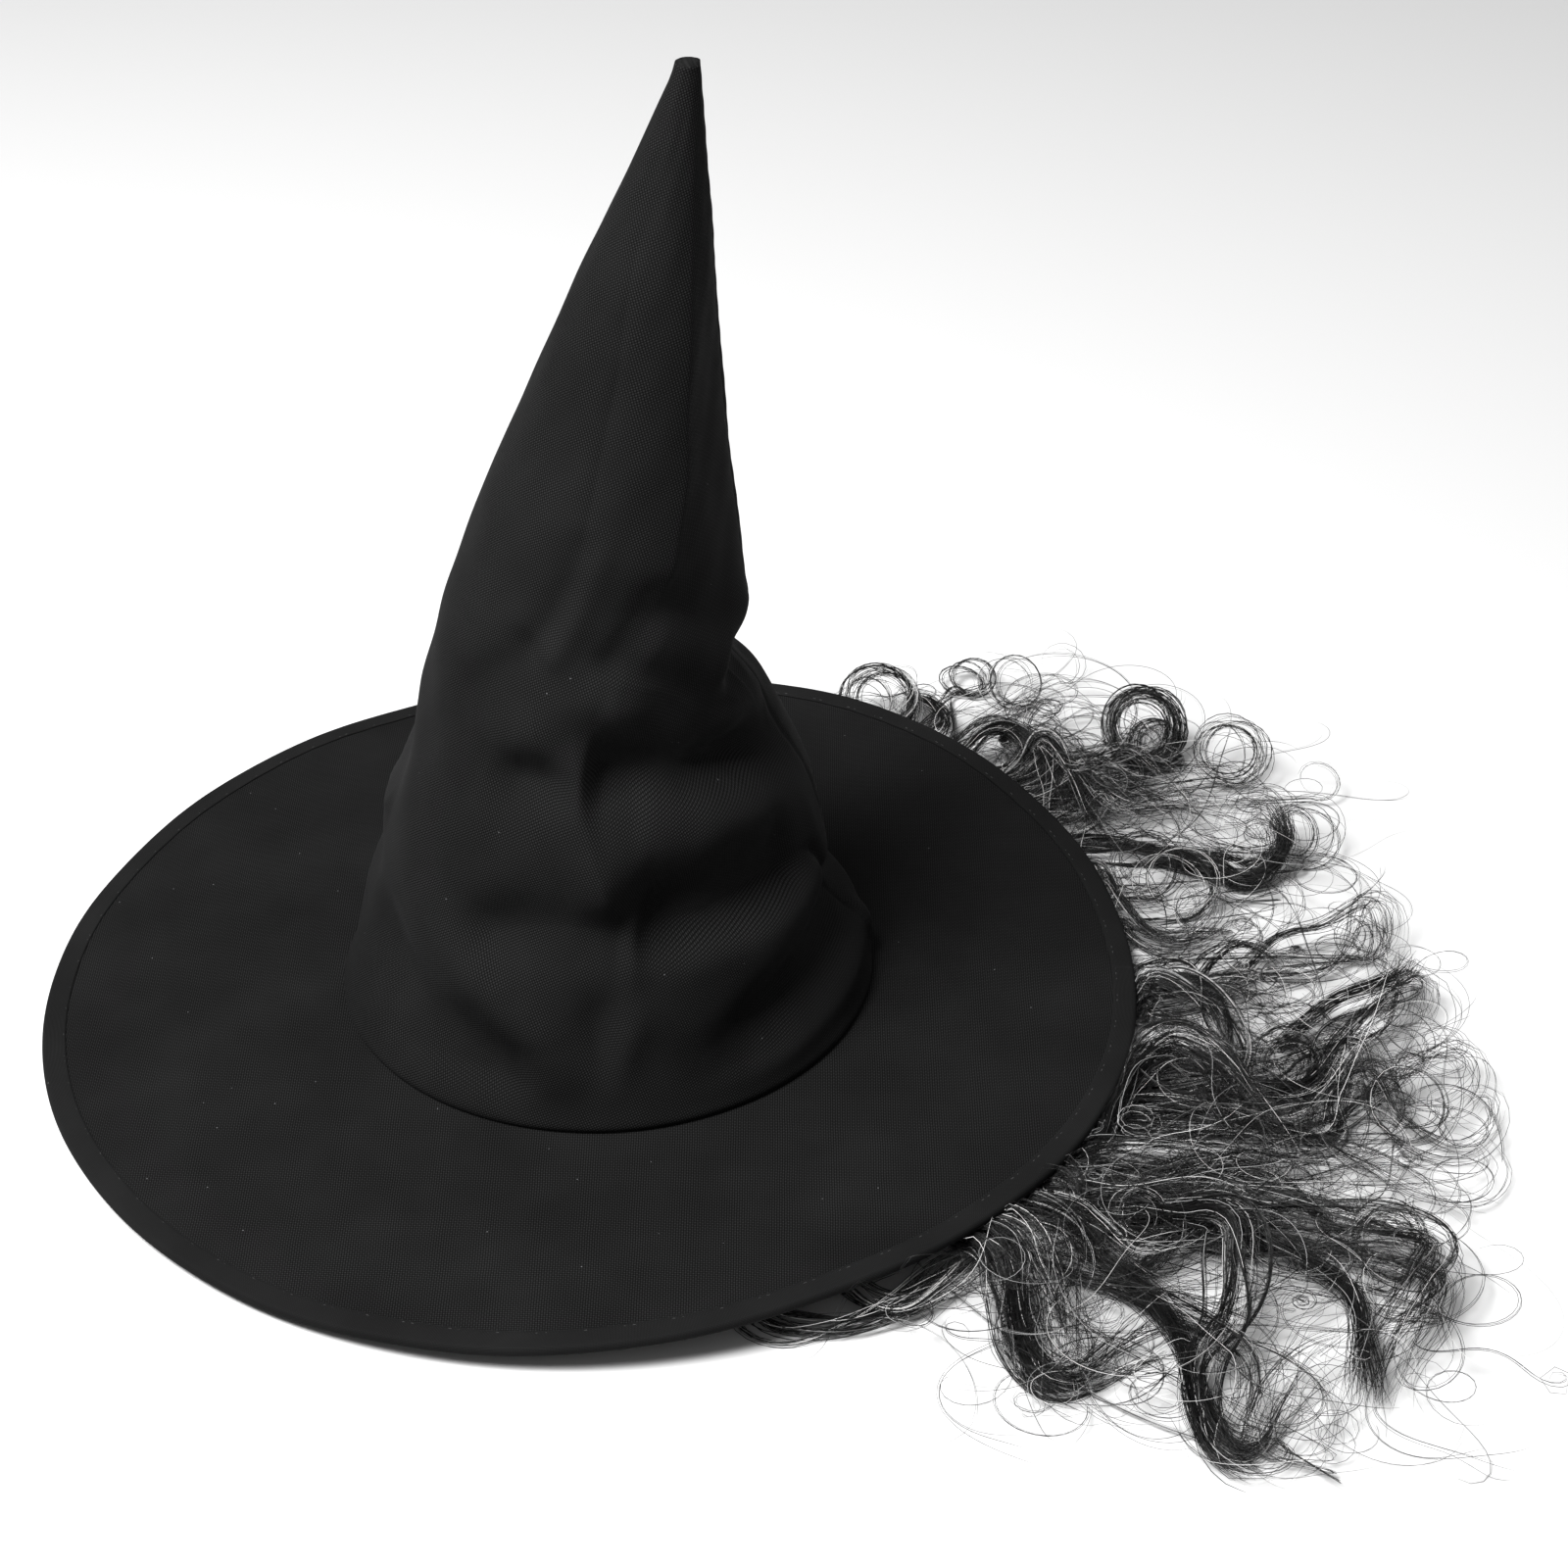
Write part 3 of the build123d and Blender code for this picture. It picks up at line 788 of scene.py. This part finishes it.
def lock(piece, root, route, count, width, mix):
    """A lock of hair from its root under the brim along a given route."""
    first = np.array(route[0], float)
    root = np.array(root, float)
    mid = root * 0.45 + first * 0.55
    mid[2] = FLOOR + 2.5
    centre, length = spline([tuple(root), tuple(mid)] + list(route), 220)
    _, side, rise = frames(centre)
    t = np.linspace(0, 1, len(centre))
    body = np.interp(t, [0, 0.25, 0.5, 0.85, 1.0], [0.35, 0.8, 0.9, 0.8, 0.65])
    tresses = max(3, int(round(width / 2.2)))
    each = max(5, int(round(count * 0.8 / tresses)))
    for k in range(tresses):
        across = (k + 0.5) / tresses * 2 - 1 + RNG.uniform(-0.25, 0.25)
        waves = RNG.uniform(0.3, 0.9) * length / 90.0
        phase = RNG.uniform(0, 2 * math.pi, 2)
        stray = smooth(t * 1.6) * (RNG.uniform(0.6, 3.0) if RNG.random() < 0.7 else RNG.uniform(4.0, 8.0))
        x = width / 2 * body * (across * 0.75 + 0.30 * np.sin(2 * math.pi * waves * t + phase[0]))
        x = x + stray * np.sin(2 * math.pi * 1.4 * waves * t + phase[1])
        z = width / 3.4 * body * (RNG.uniform(-0.5, 0.9) + 0.35 * np.sin(2 * math.pi * waves * t + phase[1]))
        line = centre + side * x[:, None] + rise * z[:, None]
        tone = mix if RNG.random() < 0.9 else PALE
        late = 0.0 if RNG.random() < 0.7 else RNG.uniform(0.1, 0.4)
        tress(piece, line, length, each, RNG.uniform(0.6, 1.25), tone, ends=(late, RNG.uniform(0.8, 1.0)))
    loose = max(6, count // 4)
    tress(piece, centre, length, loose, width * 0.42, GREY, (0.08, 0.12), fan=1.2, slide=2.5)
    return centre


def ringlet(piece, root, foot, radius, turns, count, tilt, hand):
    """A loose curl: strands run in along the floor and wind unevenly round a leaning circle."""
    foot = np.array(foot, float)
    root = np.array(root, float)
    left = count
    while left > 0:
        some = int(RNG.choice([1, 2, 3, 5, 8], p=[0.30, 0.25, 0.20, 0.15, 0.10]))
        left -= some
        face = math.radians(tilt + RNG.normal(0, 9))
        turned = RNG.normal(0, 0.22)
        u1 = np.array([-math.sin(turned), math.cos(turned), 0.0]) * hand
        u2 = np.cross(np.array([math.cos(turned), math.sin(turned), 0.0]) * math.sin(face)
                      + np.array([0.0, 0.0, math.cos(face)]), u1) * hand
        u2 = u2 * np.sign(u2[2] + 1e-9)
        axis = np.cross(u1, u2)
        r = radius * (1.04 - 0.42 * RNG.random() ** 2.2)
        hub = foot + u2 * radius + (u1 * RNG.normal(0, 0.07) + u2 * RNG.normal(0, 0.05)) * radius
        spin = turns * RNG.uniform(0.55, 1.15)
        w = np.radians(np.linspace(-90, -90 + 360 * spin, int(16 * spin) + 3))
        wobble = 1 + 0.06 * np.sin(w + RNG.uniform(0, 6.3)) + 0.045 * np.sin(2 * w + RNG.uniform(0, 6.3))
        wobble = wobble * (1.0 - 0.12 * np.linspace(0, 1, len(w)) * spin)
        rise = axis * (4.0 * RNG.normal(1, 0.5) * np.linspace(0, 1, len(w)) * spin)[:, None]
        curl = hub + (r * wobble)[:, None] * (np.cos(w)[:, None] * u1 + np.sin(w)[:, None] * u2) + rise
        lead = curl[0] - u1 * radius * 0.9 + np.array([RNG.normal(0, 3), 0.0, 0.8])
        mid = root * 0.4 + lead * 0.6 + np.array([RNG.normal(0, 9), RNG.normal(0, 9), 0.0])
        mid[2] = FLOOR + 2.0
        line, length = spline([root, mid, lead] + list(curl), 260)
        tone = DARK if RNG.random() < 0.7 else PALE
        tress(piece, line, length, some, 0.25 + 0.05 * some, tone, (0.09, 0.14), fan=0.8, slide=0.2)


def wisps(piece, guides, count, reach, bend, height):
    """Fine strands, one or a few together, that leave the locks and swing round in open curls.
    reach is their shortest and longest length, bend the curls' radius, height how far they rise."""
    for _ in range(count):
        guide = guides[RNG.integers(len(guides))]
        i = RNG.integers(2, len(guide) - 3)
        step = guide[i + 2] - guide[i]
        heading = math.atan2(step[1], step[0]) + RNG.normal(0, 0.4)
        length = RNG.uniform(*reach)
        steps = 56
        s = np.linspace(0, 1, steps)
        r = math.exp(RNG.normal(math.log(bend), 0.45)) * RNG.choice([-1.0, 1.0])
        swing = RNG.uniform(0.3, 1.5) * np.sin(2 * math.pi * (RNG.uniform(0.3, 1.3) * s + RNG.random()))
        tighten = RNG.uniform(0.3, 1.0) + RNG.uniform(0.0, 1.3) * s
        angle = heading + np.cumsum(length / steps / r * (tighten + swing))
        x = guide[i, 0] + np.cumsum(np.cos(angle)) * length / steps
        y = guide[i, 1] + np.cumsum(np.sin(angle)) * length / steps
        hump = RNG.uniform(0.1, 1.0) * height
        z = max(guide[i, 2], FLOOR + 1) + hump * np.sin(math.pi * s * RNG.uniform(0.6, 1.5))
        t = (np.hypot(x, y + BRIM_FORWARD) - OPEN_R) / (BRIM_R - OPEN_R)
        # only those that stay beside the hat, within the reach of the locks
        inside = x.max() < 244 and x.min() > -204 and y.max() < 304 and y.min() > 60
        if inside and t.min() > 0.88:
            line = np.stack([x, y, z], axis=1)
            tone = GREY if RNG.random() < 0.75 else DARK
            tress(piece, line, length, int(RNG.integers(1, 4)), 0.6, tone, (0.07, 0.11), fan=4.0)


LEFT_ROOTS = [(94, 50, -9), (90, 54, -9), (86, 58, -9), (80, 63, -9), (74, 68, -9)]
ROOTS = {
    "left": LEFT_ROOTS,
    "back": [(-34, 96, -9), (-12, 97, -9), (12, 97, -9), (34, 96, -9)],
    "right": [(-x, y, z) for x, y, z in LEFT_ROOTS],
}

# (piece, root, strands, width, mix, route) in millimetres
LOCKS = [
    ("left_1", 0, 90, 11, GREY,
     [(168, 55, -9), (174, 76, -8), (166, 97, -7), (153, 111, -6), (140, 125, -5), (131, 138, -4)]),
    ("left_1", 1, 60, 10, GREY,
     [(158, 84, -9), (168, 98, -8), (160, 112, -6), (146, 124, -5), (134, 134, -2)]),
    ("left_2", 1, 120, 17, DARK,
     [(142, 123, 0), (162, 129, -4), (183, 132, -8), (197, 141, -9), (195, 153, -9), (183, 168, -8),
      (175, 182, -6), (178, 196, -6), (187, 205, -8)]),
    ("left_2", 1, 90, 16, GREY,
     [(138, 130, 1), (155, 140, -1), (174, 146, -4), (192, 149, -7), (204, 153, -10)]),
    ("left_2", 2, 40, 18, GREY,
     [(132, 142, -3), (152, 152, 0), (168, 150, -4), (182, 158, -8)]),
    ("left_3", 2, 120, 15, DARK,
     [(112, 148, -1), (126, 155, -4), (140, 163, -7), (146, 173, -8), (135, 184, -4), (128, 198, -2),
      (132, 211, -4), (140, 223, -6), (149, 233, -9)]),
    ("left_3", 2, 70, 14, DARK,
     [(124, 150, -3), (136, 160, -1), (150, 172, -2), (148, 188, 0), (138, 200, 1), (140, 214, 0)]),
    ("left_4", 3, 130, 16, DARK,
     [(94, 159, -7), (74, 170, -1), (56, 180, 4), (48, 194, 7), (57, 207, 4), (74, 216, 1),
      (89, 226, -4), (106, 233, -9)]),
    ("left_4", 3, 90, 15, GREY,
     [(78, 166, -9), (64, 178, -5), (53, 192, -1), (57, 205, -1), (72, 213, -5), (78, 222, -9)]),
    ("left_4", 2, 60, 15, GREY,
     [(106, 151, -7), (103, 166, -5), (111, 180, -5), (122, 190, -9)]),
    ("left_5", 4, 90, 12, DARK,
     [(70, 196, -8), (86, 238, -8), (72, 247, -3), (57, 254, 0), (42, 265, 4), (26, 279, 9)]),
    ("left_5", 4, 60, 9, DARK,
     [(60, 190, -8), (78, 228, -8), (68, 242, -4), (50, 253, 2), (36, 268, 7), (27, 279, 11)]),
    ("left_5", 4, 80, 11, DARK,
     [(46, 224, -6), (45, 256, 1), (63, 261, -2), (78, 263, -6), (90, 264, -9)]),
    ("left_3", 2, 130, 14, DARK,
     [(130, 180, 0), (147, 200, 13), (165, 202, 8), (182, 199, 3), (197, 190, -1), (213, 188, -5),
      (226, 194, -9), (224, 203, -9), (210, 211, -5), (197, 222, 0), (188, 234, 2), (175, 240, 6),
      (168, 235, 9)]),
    ("left_3", 1, 60, 10, DARK,
     [(160, 170, -4), (188, 194, 2), (197, 202, 0), (208, 202, -4), (224, 196, -8), (230, 202, -9),
      (217, 210, -5)]),
    ("left_4", 3, 100, 13, DARK,
     [(120, 200, -2), (138, 248, 3), (154, 265, 8), (167, 258, 6), (182, 249, 1), (197, 239, -4),
      (209, 236, -7), (218, 240, -9)]),
    ("left_4", 3, 60, 10, DARK,
     [(140, 220, -5), (160, 262, 2), (177, 260, 0), (190, 250, -3), (203, 243, -6), (221, 237, -9)]),
    ("left_3", 2, 50, 8, DARK,
     [(140, 230, -8), (158, 236, -2), (166, 230, -5), (170, 219, -6), (177, 208, -9)]),
    ("left_4", 3, 50, 6, DARK,
     [(110, 220, -6), (142, 238, 1), (138, 249, 3), (142, 259, 1), (151, 262, -4), (157, 254, -8),
      (156, 244, -8)]),
    ("left_5", 4, 36, 4, DARK,
     [(60, 240, -6), (63, 259, 2), (78, 266, -3), (86, 277, -7), (88, 287, -8), (80, 298, -6),
      (71, 300, -2), (69, 293, -1), (76, 285, -4), (82, 279, -7)]),
    ("left_5", 4, 26, 4, GREY,
     [(64, 240, -8), (63, 265, -4), (53, 269, 1), (50, 281, 2), (55, 291, 0), (65, 291, -5),
      (72, 281, -9)]),
    ("left_4", 3, 70, 24, GREY,
     [(108, 175, -9), (106, 193, -7), (98, 210, -6), (89, 226, -5), (85, 241, -4)]),
    ("left_3", 2, 70, 24, GREY,
     [(114, 150, -8), (122, 168, -8), (116, 183, -7), (109, 202, -6), (109, 220, -6)]),
    ("left_2", 1, 24, 4, DARK,
     [(180, 200, -6), (197, 219, -3), (207, 226, -5), (221, 227, -7), (236, 222, -9)]),
    ("left_5", 4, 80, 18, GREY,
     [(104, 146, -8), (99, 162, -4), (96, 179, -5), (98, 212, -6), (104, 232, -6), (99, 255, -8),
      (93, 272, -9)]),
    ("left_5", 3, 70, 16, GREY,
     [(114, 154, -6), (124, 172, -1), (120, 198, 0), (128, 219, -2), (119, 242, -5), (123, 258, -8)]),
    ("left_5", 4, 24, 5, DARK,
     [(79, 225, -8), (98, 249, -5), (115, 268, -5), (117, 287, -7), (102, 298, -8), (89, 291, -6),
      (86, 277, -7)]),
    ("left_5", 4, 100, 8, DARK,
     [(64, 188, -8), (64, 210, -2), (66, 236, 0), (47, 252, 3), (22, 272, 3), (10, 284, 0),
      (29, 279, -4), (47, 263, -7)]),
    ("left_5", 4, 30, 5, DARK,
     [(82, 235, -6), (71, 259, -2), (56, 277, 0), (50, 292, 0), (61, 293, -2), (72, 282, -6),
      (73, 266, -9)]),
    ("back_4", 3, 90, 8, DARK,
     [(5, 188, -8), (6, 201, -3), (26, 211, 0), (50, 216, 0), (70, 210, -3), (81, 197, -7)]),
    ("back_4", 3, 30, 5, DARK,
     [(11, 210, -8), (-16, 237, -2), (-22, 255, 0), (-34, 272, 2), (-15, 275, 3), (4, 269, 0),
      (5, 252, -6)]),
    ("back_4", 3, 60, 7, DARK,
     [(20, 184, -8), (8, 189, -8), (3, 205, -6), (-6, 214, -2), (-11, 225, 0), (-6, 236, -3),
      (4, 247, -8)]),
    ("back_4", 3, 50, 6, DARK,
     [(12, 182, -6), (9, 192, 0), (20, 205, -1), (36, 213, -5), (50, 221, -9)]),
    ("back_4", 3, 40, 8, DARK,
     [(12, 183, -8), (18, 192, -9), (16, 206, -8), (5, 221, -5), (-12, 234, 2)]),
    ("back_3", 2, 26, 5, GREY,
     [(0, 200, -8), (-3, 242, -9), (-6, 256, -7), (-17, 266, -2), (-28, 271, 5), (-27, 278, 4),
      (-15, 277, -2), (-7, 266, -6)]),
    ("back_4", 3, 40, 6, DARK,
     [(40, 200, -8), (53, 219, -6), (60, 230, -8), (53, 240, -5), (45, 242, -1), (43, 233, 0)]),
    ("back_3", 2, 36, 12, GREY,
     [(4, 200, -7), (7, 220, -3), (19, 235, -6), (30, 249, -9), (30, 261, -9)]),
    ("right_2", 0, 60, 9, GREY,
     [(-160, 108, -9), (-178, 112, -4), (-172, 118, -1), (-164, 124, -7), (-171, 129, -5)]),
    ("right_2", 1, 150, 9, DARK,
     [(-138, 128, -4), (-143, 140, 4), (-143, 150, 4), (-136, 157, 0), (-127, 156, -7),
      (-124, 150, -9)]),
    ("right_3", 1, 80, 12, GREY,
     [(-122, 150, -9), (-131, 168, -8), (-139, 159, -4), (-148, 156, 2), (-159, 164, 7),
      (-163, 173, 8)]),
    ("right_3", 2, 130, 14, DARK,
     [(-128, 148, -6), (-131, 162, 8), (-111, 170, 2), (-94, 175, -4), (-79, 181, -9)]),
    ("right_4", 2, 50, 12, DARK,
     [(-120, 150, -6), (-127, 167, 4), (-122, 175, 2), (-110, 179, -4), (-100, 170, -9)]),
    ("right_5", 4, 150, 11, DARK,
     [(-70, 168, -8), (-56, 178, 0), (-40, 182, -3), (-27, 191, -7), (-23, 204, -8), (-33, 217, -6),
      (-49, 223, -1)]),
    ("right_4", 2, 50, 14, GREY,
     [(-108, 158, -6), (-116, 176, 5), (-105, 195, 1), (-100, 212, -2), (-94, 226, -5),
      (-83, 233, -9)]),
    ("right_5", 3, 150, 9, DARK,
     [(-84, 186, -8), (-67, 219, -4), (-60, 231, -8), (-63, 242, -5), (-73, 248, 2), (-84, 242, 10),
      (-81, 235, 9), (-70, 231, 0)]),
    ("right_4", 3, 60, 18, GREY,
     [(-96, 170, -8), (-105, 182, 0), (-98, 190, -2), (-100, 203, -2), (-96, 215, -4), (-83, 221, -9)]),
    ("right_3", 2, 40, 14, GREY,
     [(-112, 160, -7), (-122, 182, 4), (-132, 196, 3), (-120, 210, -2), (-104, 214, -8)]),
]
# (piece, root, foot, radius, turns, strands, tilt, hand)
RINGLETS = [
    ("right_1", 0, (-158, 98, -10), 15.0, 2.2, 34, 40, 1),
    ("right_1", 1, (-189, 137, -10), 9.5, 1.6, 22, 25, 1),
    ("right_2", 1, (-181, 152, -10), 11.0, 1.6, 12, 40, -1),
    ("right_2", 1, (-198, 176, -10), 8.5, 1.3, 6, 40, 1),
    ("right_3", 2, (-140, 201, -10), 15.5, 2.6, 60, 48, 1),
    ("right_3", 2, (-137, 206, -10), 10.5, 2.2, 30, 48, -1),
    ("right_4", 2, (-120, 193, -9), 7.5, 2.0, 36, 50, 1),
    ("right_4", 3, (-124, 234, -10), 14.5, 1.9, 26, 45, 1),
    ("right_5", 3, (-72, 255, -10), 13.0, 1.6, 20, 40, 1),
    ("right_5", 4, (-110, 268, -10), 12.0, 1.4, 8, 45, 1),
    ("left_4", 3, (151, 253, -10), 12.5, 1.6, 18, 45, 1),
    ("left_3", 2, (232, 213, -10), 11.0, 1.5, 10, 35, -1),
    ("left_5", 4, (62, 232, -10), 11.5, 1.8, 24, 45, 1),
    ("left_5", 4, (83, 268, -10), 12.5, 1.5, 10, 40, 1),
    ("left_3", 2, (133, 176, -10), 9.0, 2.0, 26, 45, 1),
    ("left_4", 3, (168, 254, -10), 11.0, 1.4, 12, 40, -1),
    ("back_2", 1, (-40, 205, -10), 14.0, 1.6, 14, 35, 1),
    ("back_3", 2, (-12, 268, -10), 9.0, 1.6, 14, 45, 1),
    ("back_2", 1, (-48, 232, -10), 12.0, 1.4, 8, 35, -1),
    ("back_1", 0, (-52, 196, -10), 13.0, 1.5, 16, 30, 1),
    ("back_1", 0, (-30, 214, -10), 10.0, 1.5, 10, 40, -1),
]
guides = {}
for piece, root, count, width, mix, route in LOCKS:
    group = piece.split("_")[0]
    centre = lock(piece, ROOTS[group][root], route, count, width, mix)
    out = centre[np.hypot(centre[:, 0], centre[:, 1] + BRIM_FORWARD) > BRIM_R - 4]
    if len(out) > 12:
        guides.setdefault(group, []).append(out)
for piece, root, *shape in RINGLETS:
    group = piece.split("_")[0]
    ringlet(piece, ROOTS[group][root], *shape)
WISPS = {"left": (5, 54), "back": (4, 14), "right": (5, 26)}
for group, (pieces, each) in WISPS.items():
    for i in range(pieces):
        wisps(f"{group}_{i + 1}", guides[group], each, (60, 150), 20, 12)
        wisps(f"{group}_{i + 1}", guides[group], each, (40, 110), 12, 9)

# (piece, strands, spread, route) where a lock is gathered into a dark clump
CLUMPS = [
    ("left_2", 110, 3.4,
     [(132, 116, -3), (142, 126, -3), (160, 134, -4), (180, 135, -5), (197, 141, -6), (202, 153, -7)]),
    ("left_3", 110, 3.2,
     [(152, 166, -3), (169, 177, -3), (188, 184, -4), (210, 186, -5), (226, 191, -6), (233, 203, -8)]),
    ("left_4", 90, 3.0,
     [(136, 212, -3), (149, 226, -3), (166, 238, -2), (188, 239, -4), (208, 238, -7)]),
    ("left_3", 80, 3.4,
     [(120, 145, -4), (125, 160, -3), (126, 182, -3), (128, 202, -3), (139, 216, -5)]),
    ("left_5", 60, 2.4, [(38, 232, -8), (21, 252, -2), (15, 267, 1), (7, 279, 0), (-6, 286, -2)]),
    ("right_5", 80, 2.4,
     [(-76, 200, -9), (-66, 218, -8), (-60, 232, -6), (-64, 243, -2), (-75, 248, 2), (-88, 244, 4)]),
    ("right_2", 60, 2.6, [(-184, 112, -6), (-174, 120, -3), (-160, 125, -2), (-150, 119, -5)]),
    ("right_3", 70, 2.6, [(-150, 146, -5), (-148, 158, -2), (-127, 173, -2), (-106, 177, -4)]),
]
for piece, count, spread, route in CLUMPS:
    line, length = spline(route, 160)
    tress(piece, line, length, count, spread, BLACK, (0.11, 0.16), fan=0.9, slide=0.6)

for group, (pieces, _) in WISPS.items():
    for i in range(pieces):
        strands.build(f"{group}_{i + 1}", f"hair_{group}", f"hair_{group}_lock_{i + 1}")

# ------------------------------------------------------------------ stage, light and camera
floor_mesh = bpy.data.meshes.new("floor")
half = 4.0
corners = [(-half, -half), (half, -half), (half, half), (-half, half)]
floor_mesh.from_pydata([(x, y, FLOOR * MM) for x, y in corners], [], [(0, 1, 2, 3)])
floor_nodes = Nodes("pale_floor")
floor_nodes.set(Base_Color=(0.52, 0.52, 0.52, 1), Roughness=0.9, Specular_IOR_Level=0.1)
floor_mesh.materials.append(floor_nodes.mat)
add_object("floor", floor_mesh)


def aim(obj, place, target):
    """Puts a light or the camera at a place, in metres, looking at a target."""
    obj.location = place
    obj.rotation_euler = (Vector(target) - Vector(place)).to_track_quat("-Z", "Y").to_euler()


def area_light(name, place, target, size, power):
    data = bpy.data.lights.new(name, "AREA")
    data.energy = power
    data.size = size
    aim(add_object(name, data), place, target)


area_light("key_light", (0.54, -0.72, 1.70), (0, 0, 0.1), 0.8, 98)
area_light("fill_light", (-0.5, 1.5, 1.2), (0, 0.1, 0.05), 0.9, 3)
world = bpy.data.worlds.new("studio")
world.use_nodes = True
world.node_tree.nodes["Background"].inputs["Color"].default_value = (1, 1, 1, 1)
world.node_tree.nodes["Background"].inputs["Strength"].default_value = 0.34
bpy.context.scene.world = world

camera_data = bpy.data.cameras.new("camera")
camera_data.lens = 74.25
camera_data.sensor_width = 36
camera = add_object("camera", camera_data)
aim(camera, (0.9073, 0.0618, 0.6947), (-0.1181, 0.0618, -0.0040))
bpy.context.scene.camera = camera
bpy.context.scene.view_settings.view_transform = "Standard"
